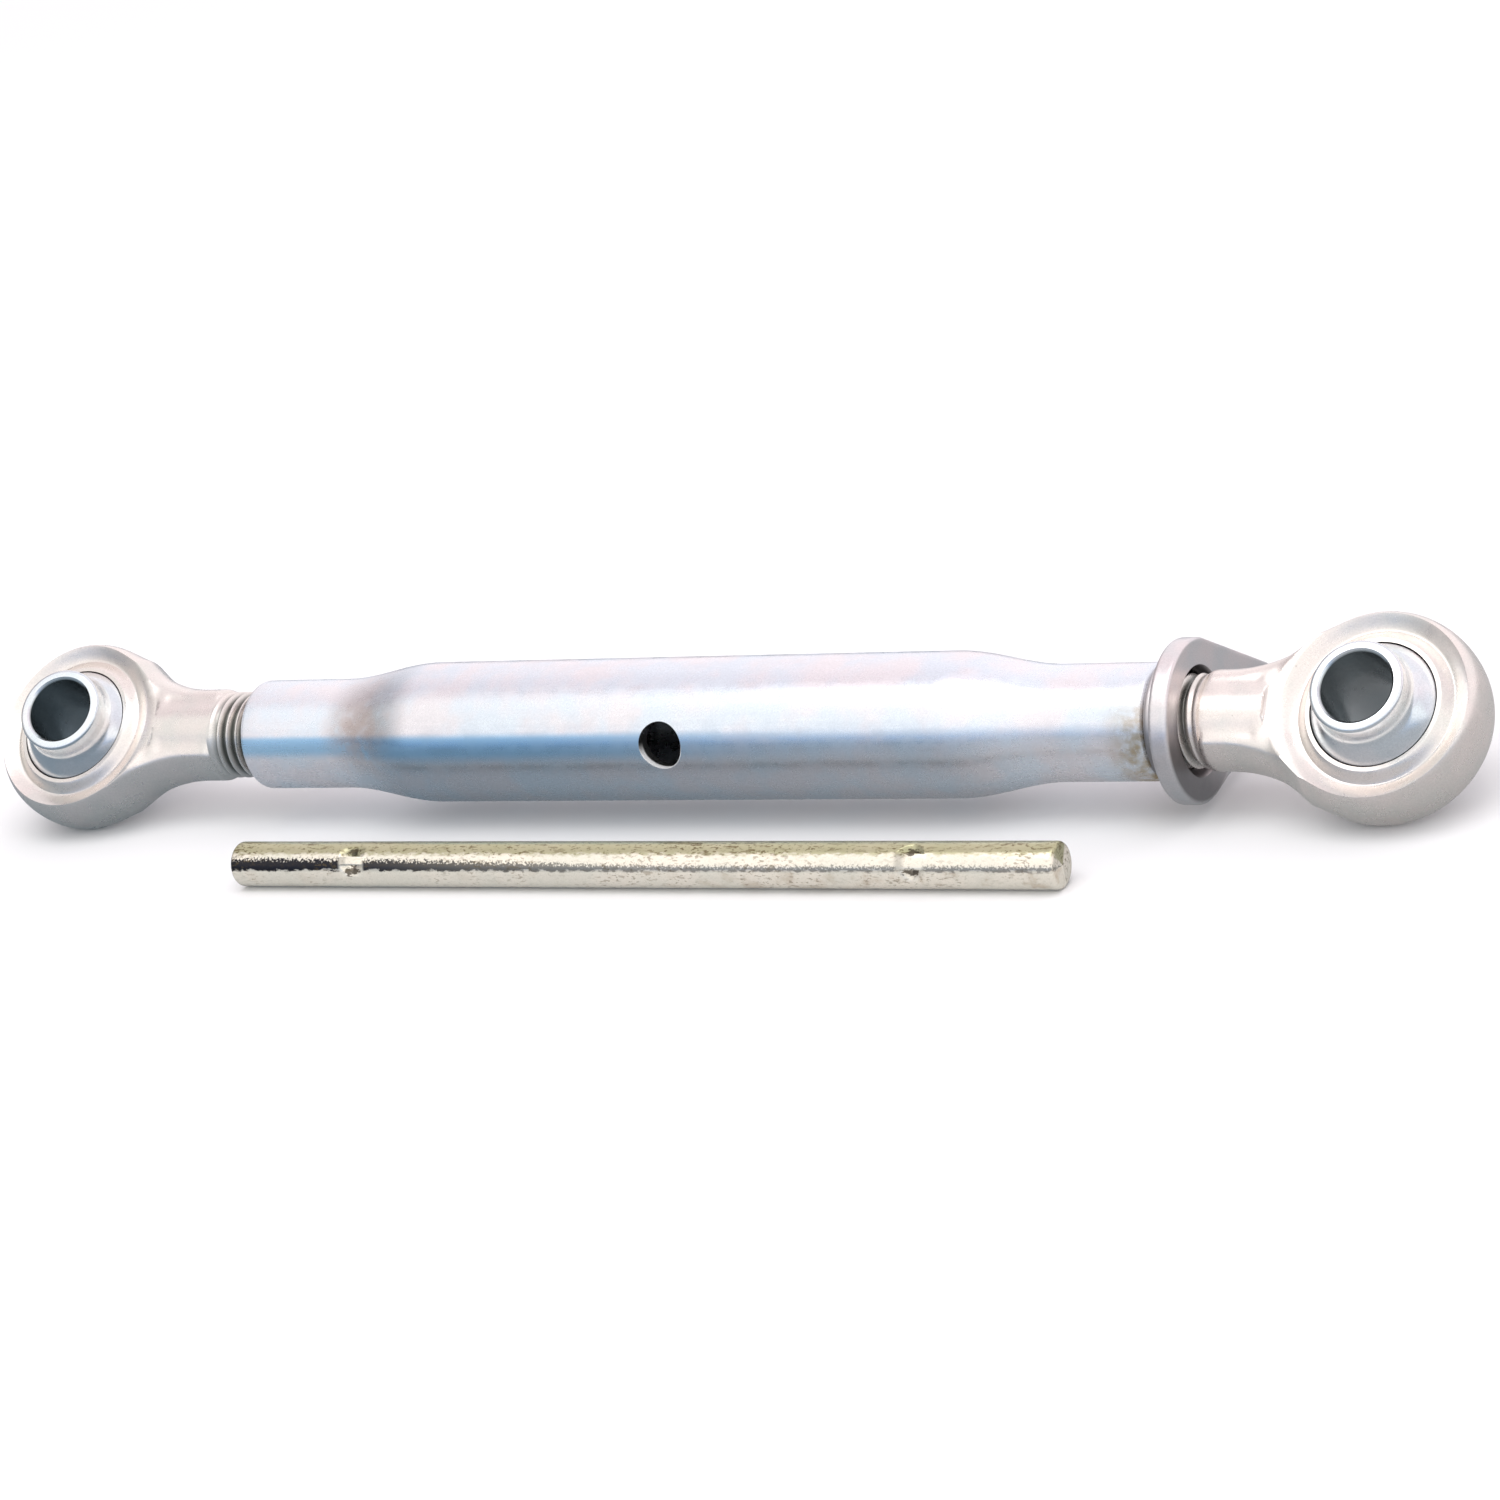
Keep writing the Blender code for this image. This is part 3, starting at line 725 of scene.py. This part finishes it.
def zinc_tube():
    """Bluish plate with dull swaged ends and brown at the nut's end; a painted reflection, a blue band
    along the front; painted shade in the cross hole.
    """
    graph = Graph("tube_zinc")
    tint, rough, grain = plated(graph, (0.72, 0.77, 0.83), (0.80, 0.76, 0.78), 0.24, 0.33)
    x, y, z = graph.axes
    speckle = graph.noise(3.5, 5)
    nut_end = graph.step(x, 0.130, 0.1442)
    brown = graph.times(graph.times(nut_end, graph.step(y, 0.004, -0.012)), graph.step(speckle, 0.25, 0.6))
    tint = graph.mix(graph.times(brown, 0.9), tint, colour(0.36, 0.25, 0.09))

    # Painted reflection: a blue band painted along the front stands for the low blue sky seen in the
    # metal, fading towards the nut's end.
    angle = graph.math("ARCTAN2", graph.times(y, -1), z)       # 0 along +Z, towards -Y
    painted_reflection = graph.times(graph.step(angle, 0.40, 0.52), graph.step(angle, 0.92, 0.70))
    painted_reflection = graph.times(painted_reflection, graph.step(x, 0.07, -0.05, 0.12, 0.9))
    tint = graph.mix(painted_reflection, tint, colour(0.33, 0.56, 0.76))

    from_patch = graph.vector("DISTANCE", graph.place, (-0.102, -0.007, 0.0155))["Value"]
    patch = graph.times(graph.step(from_patch, 0.016, 0.002), graph.step(speckle, 0.15, 0.6))
    tint = graph.mix(graph.times(patch, 0.6), tint, colour(0.56, 0.42, 0.36))

    # Painted shade: the cross hole's wall is painted near black, but for a painted highlight, a white
    # crescent at the lower edge of its mouth.
    across = graph.plus(graph.times(y, math.cos(CROSS_HOLE_ANGLE)),
                        graph.times(z, math.sin(CROSS_HOLE_ANGLE)))
    painted_hole_shade = graph.step(graph.length(x, across), 0.0068, 0.00666)
    lit = graph.times(graph.step(graph.length(y, z), 0.0176, 0.0184), graph.step(across, 0.001, -0.003))
    tint = graph.mix(painted_hole_shade, tint, graph.mix(lit, colour(0.02, 0.02, 0.02), colour(1.0, 1.0, 1.0)))

    dull = graph.plus(graph.step(x, -0.088, -0.114, 0.0, 0.40), graph.step(x, 0.085, 0.112, 0.0, 0.30))
    # The hole's wall is mostly not metallic, so its painted shade and highlight show as they are.
    dull = graph.plus(dull, graph.times(painted_hole_shade, 0.9))
    graph.connect(graph.shader, {"Metallic": graph.math("SUBTRACT", 1.0, dull)})

    scuffs = graph.noise(1.2, 3, stretch=(0.06, 1, 1))
    rough = graph.plus(rough, graph.step(scuffs, 0.3, 0.7, -0.03, 0.03))
    return graph.finish(tint, rough, graph.bump(grain, 0.4, scuffs, 0.6, 0.3, 0.01))


def zinc_forging():
    """Warmer plate with pits, and dark roots between the threads."""
    graph = Graph("forging_zinc", metallic=0.85)
    tint, rough, grain = plated(graph, (0.73, 0.70, 0.66), (0.80, 0.73, 0.69), 0.25, 0.36)
    x, y, z = graph.axes
    root = graph.times(graph.step(graph.length(y, z), 0.0124, 0.0111), graph.step(x, 0.050, 0.053))
    tint = graph.mix(graph.times(root, 0.9), tint, colour(0.12, 0.13, 0.12))
    pits = graph.step(graph.noise(1.3, 4), 0.69, 0.76)
    tint = graph.mix(graph.times(pits, 0.5), tint, colour(0.30, 0.26, 0.22))
    return graph.finish(tint, rough, graph.bump(grain, 0.3, graph.noise(1.6, 4), 0.7, 0.5, 0.05))


def zinc_ball():
    """Bright plate with turning marks and a darker bore."""
    graph = Graph("ball_zinc")
    tint, rough, grain = plated(graph, (0.66, 0.71, 0.75), (0.76, 0.76, 0.78), 0.18, 0.28)
    in_bore = graph.step(graph.length(graph.axes["X"], graph.axes["Y"]), 0.0101, 0.0098)
    tint = graph.mix(graph.times(in_bore, 0.72), tint, colour(0.20, 0.23, 0.23))
    turning = graph.noise(0.5, 2, stretch=(0.2, 0.2, 1))
    return graph.finish(tint, rough, graph.bump(grain, 0.5, turning, 0.5, 0.25, 0.015))


def zinc_nut():
    """Greyish plate, darkest in the bore, with painted shade on the lower half of the face."""
    graph = Graph("nut_zinc")
    tint, rough, grain = plated(graph, (0.66, 0.65, 0.66), (0.74, 0.68, 0.68), 0.28, 0.40)
    y = graph.axes["Y"]
    radius = graph.length(y, graph.axes["Z"])
    tint = graph.mix(graph.step(radius, 0.0152, 0.0142, 0.0, 0.88), tint, colour(0.07, 0.06, 0.06))
    # Painted shade: the lower half of the face is painted darker.
    lower = graph.times(graph.step(y, 0.003, -0.016), graph.step(radius, 0.0218, 0.0206))
    tint = graph.mix(graph.times(lower, 0.75), tint, colour(0.16, 0.145, 0.15))
    return graph.finish(tint, rough, graph.bump(grain, 0.3, graph.noise(1.4, 4), 0.7, 0.45, 0.04))


def zinc_bar():
    """Old plate with clouds and specks, darker brown in the notches; painted reflections: a darker olive
    top and a dark band along the front.
    """
    graph = Graph("bar_zinc")
    tint, rough, grain = plated(graph, (0.80, 0.75, 0.64), (0.88, 0.80, 0.68), 0.16, 0.26)
    x, y, z = graph.axes
    angle = graph.math("ARCTAN2", y, z)     # 0 on top, negative at the front
    ragged = graph.noise(1.1, 4, stretch=(0.5, 1, 1))
    around = graph.plus(angle, graph.step(ragged, 0.3, 0.7, -0.08, 0.08))

    underside = graph.step(angle, -1.38, -1.52)
    clouds = graph.times(graph.step(graph.noise(6, 5), 0.50, 0.68), graph.step(x, -0.06, 0.12, 0.15, 0.55))
    tint = graph.mix(graph.times(clouds, underside), tint, colour(0.50, 0.38, 0.26))
    # Painted reflection: the top is painted darker olive, for the dim surroundings it would reflect.
    top = graph.step(around, -0.82, -0.55)
    olive = graph.mix(graph.noise(9, 3), colour(0.38, 0.375, 0.21), colour(0.50, 0.455, 0.31))
    tint = graph.mix(graph.times(top, graph.step(angle, 0.80, 0.52)), tint, olive)

    # Painted reflection: a near-black band painted along the front, ragged at its edges, for a dark band
    # low in the surroundings; it is left out at the crimps.
    fine_edge = graph.step(graph.noise(0.6, 3), 0.3, 0.7, -0.13, 0.13)
    upper = graph.plus(graph.plus(angle, fine_edge), graph.step(x, -0.12, 0.04, 0.0, 0.30))
    painted_reflection = graph.times(graph.step(upper, -0.84, -0.98), graph.step(around, -1.46, -1.36))
    painted_reflection = graph.times(painted_reflection, graph.step(x, -0.10, 0.02, 1.0, 0.60))
    off_crimp = graph.math("ABSOLUTE", graph.math("SUBTRACT", graph.math("ABSOLUTE", x), CRIMP_X * MM))
    painted_reflection = graph.times(painted_reflection, graph.step(off_crimp, 0.0034, 0.0046))
    tint = graph.mix(painted_reflection, tint, colour(0.014, 0.013, 0.018))

    # Darker brown in and around the crimp notches.
    for notch in (-0.52, -1.47):            # the same angles on both sides of the bar
        off_notch = graph.math("ABSOLUTE", graph.math("SINE", graph.math("SUBTRACT", angle, notch)))
        off = graph.plus(graph.math("POWER", graph.times(off_notch, 1 / 0.26), 2),
                         graph.math("POWER", graph.times(off_crimp, 1 / 0.0028), 2))
        notch_darkening = graph.step(graph.plus(off, graph.step(ragged, 0.35, 0.65, -0.5, 0.5)), 0.9, 0.4)
        tint = graph.mix(graph.times(notch_darkening, 0.9), tint, colour(0.05, 0.035, 0.02))

    clusters = graph.step(graph.noise(14, 3), 0.44, 0.60)
    fine = graph.noise(0.7, 4, stretch=(0.5, 1, 1))
    dashes = graph.noise(1.2, 5, stretch=(0.3, 1, 1))
    often = graph.plus(graph.times(top, 0.5), graph.times(clusters, 0.45))
    specks = graph.times(graph.step(fine, 0.56, 0.62), graph.plus(often, 0.15), clamp=True)
    blots = graph.times(graph.step(dashes, 0.57, 0.64), often)
    tint = graph.mix(graph.times(specks, 0.8), tint, colour(0.13, 0.09, 0.035))
    tint = graph.mix(graph.times(blots, 0.8), tint, colour(0.14, 0.095, 0.035))
    graph.connect(graph.shader, {"Metallic": graph.math("SUBTRACT", 0.6, graph.times(underside, 0.25))})
    return graph.finish(tint, rough, graph.bump(grain, 0.5, specks, -0.25, 0.4, 0.02))


def finished(item, material, body, node):
    """Gives a piece its material, shading and body, and hides the node it stands for.

    Materials read a point's place in the piece's own frame, which is kept before the mesh is put in place.
    """
    mesh = item.data
    own_place = mesh.attributes.new("own_place", "FLOAT_VECTOR", "POINT")
    own_place.data.foreach_set("vector", np.array([vertex.co for vertex in mesh.vertices]).ravel())
    mesh.transform(item.matrix_world)
    item.matrix_world = Matrix()
    mesh.shade_smooth()
    mesh.set_sharp_from_angle(angle=SMOOTH_ANGLE)
    mesh.materials.clear()
    mesh.materials.append(material)
    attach(item, body)
    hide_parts(node)


# ---------------------------------------------------------------- studio

FLOOR_HALF = 12.0
FLOOR_COLOUR = (0.86, 0.86, 0.865)
FLOOR_REFLECTED_LEFT = (0.125, 0.15, 0.17)
FLOOR_REFLECTED_RIGHT = (0.24, 0.245, 0.25)

# Degrees up from the horizon in front, over the top and down behind, each with its colour
SKY_STOPS = ((0, (0.26, 0.36, 0.54)), (6, (0.34, 0.45, 0.62)), (18, (0.98, 0.98, 1.0)),
             (30, (1.0, 1.0, 1.0)), (72, (1.0, 1.0, 1.0)), (92, (0.74, 0.69, 0.73)),
             (112, (0.86, 0.80, 0.84)), (130, (0.94, 0.89, 0.92)))
SKY_STRENGTH = 1.34
SKY_STRENGTH_LEFT = 0.55

LIGHT_PLACE = (0.1, -0.3, 1.4)
LIGHT_SIZE = (1.4, 0.8)
LIGHT_POWER = 6.0

CAMERA_PLACE = (0.68041, -1.06179, 0.49539)
CAMERA_TURN = (1.197903, 0.214488, 0.473679)
CAMERA_LENS = 116.2


def make_floor():
    """A pale floor.  Metal reflects it darker than it looks, and lighter towards the right."""
    mesh = bpy.data.meshes.new("floor")
    half = FLOOR_HALF
    corners = [(-half, -half, 0), (half, -half, 0), (half, half, 0), (-half, half, 0)]
    mesh.from_pydata(corners, [], [(0, 1, 2, 3)])
    floor = make_object("floor", mesh)
    material = bpy.data.materials.new("floor")
    material.use_nodes = True
    nodes = Nodes(material.node_tree)
    place = nodes.add("ShaderNodeNewGeometry").outputs["Position"]
    to_right = nodes.step(nodes.add("ShaderNodeSeparateXYZ", {0: place}).outputs["X"], -0.15, 0.28)
    reflected = nodes.mix(to_right, colour(*FLOOR_REFLECTED_LEFT), colour(*FLOOR_REFLECTED_RIGHT))
    glossy = nodes.add("ShaderNodeLightPath").outputs["Is Glossy Ray"]
    # Painted reflection: glossy rays see the floor in the reflected tone, darker to the left, and the
    # floor also glows with it.
    tone = nodes.mix(glossy, colour(*FLOOR_COLOUR), reflected)
    shader = material.node_tree.nodes["Principled BSDF"]
    nodes.connect(shader, {"Roughness": 0.9, "Specular IOR Level": 0.1, "Base Color": tone,
                           "Emission Color": reflected, "Emission Strength": glossy})
    mesh.materials.append(material)


def make_sky():
    """Soft studio walls: white overhead, a dim blue band low in front, duller behind and far left."""
    world = bpy.data.worlds.new("studio")
    bpy.context.scene.world = world
    world.use_nodes = True
    nodes = Nodes(world.node_tree)
    direction = nodes.add("ShaderNodeTexCoord").outputs["Generated"]
    x, y, z = nodes.add("ShaderNodeSeparateXYZ", {0: direction}).outputs
    angle = nodes.math("ARCTAN2", z, nodes.times(y, -1.0))
    ramp = nodes.add("ShaderNodeValToRGB", {0: nodes.math("DIVIDE", angle, math.pi)})
    while len(ramp.color_ramp.elements) < len(SKY_STOPS):
        ramp.color_ramp.elements.new(0.5)
    for element, (degrees, tone) in zip(ramp.color_ramp.elements, SKY_STOPS):
        element.position = degrees / 180
        element.color = colour(*tone)
    strength = nodes.step(x, -0.80, -0.50, SKY_STRENGTH_LEFT, SKY_STRENGTH)
    nodes.connect(world.node_tree.nodes["Background"], {"Color": ramp.outputs[0], "Strength": strength})


def make_light():
    """One softbox overhead, aimed at the middle of the link."""
    light = bpy.data.lights.new("softbox", "AREA")
    light.shape = "RECTANGLE"
    light.size, light.size_y = LIGHT_SIZE
    light.energy = LIGHT_POWER
    softbox = bpy.data.objects.new("softbox", light)
    bpy.context.scene.collection.objects.link(softbox)
    softbox.location = LIGHT_PLACE
    softbox.rotation_euler = (-Vector(LIGHT_PLACE)).to_track_quat("-Z", "Y").to_euler()


def make_camera():
    data = bpy.data.cameras.new("camera")
    data.lens = CAMERA_LENS
    data.sensor_width = 36
    data.clip_start = 0.05
    camera = bpy.data.objects.new("camera", data)
    bpy.context.scene.collection.objects.link(camera)
    camera.location = CAMERA_PLACE
    camera.rotation_euler = CAMERA_TURN
    bpy.context.scene.camera = camera


# ---------------------------------------------------------------- making

make_camera()
make_floor()
make_sky()
make_light()
bpy.context.scene.view_settings.view_transform = "Standard"

tube_finish = zinc_tube()
forging_finish = zinc_forging()
ball_finish = zinc_ball()
make_tube(tube_finish)
make_eye("left_forging", NECK_END_LEFT, -1, LEFT_EYE, "left_eye", forging_finish, "left_eye_end")
make_eye("right_forging", NECK_END_RIGHT, 1, RIGHT_EYE, "right_eye", forging_finish, "right_eye_end")
make_ball("left_swivel", left_ball_matrix(), "left_ball", ball_finish, "left_ball")
make_ball("right_swivel", RIGHT_EYE, "right_ball", ball_finish, "right_ball")
make_nut(zinc_nut())
make_bar(zinc_bar())
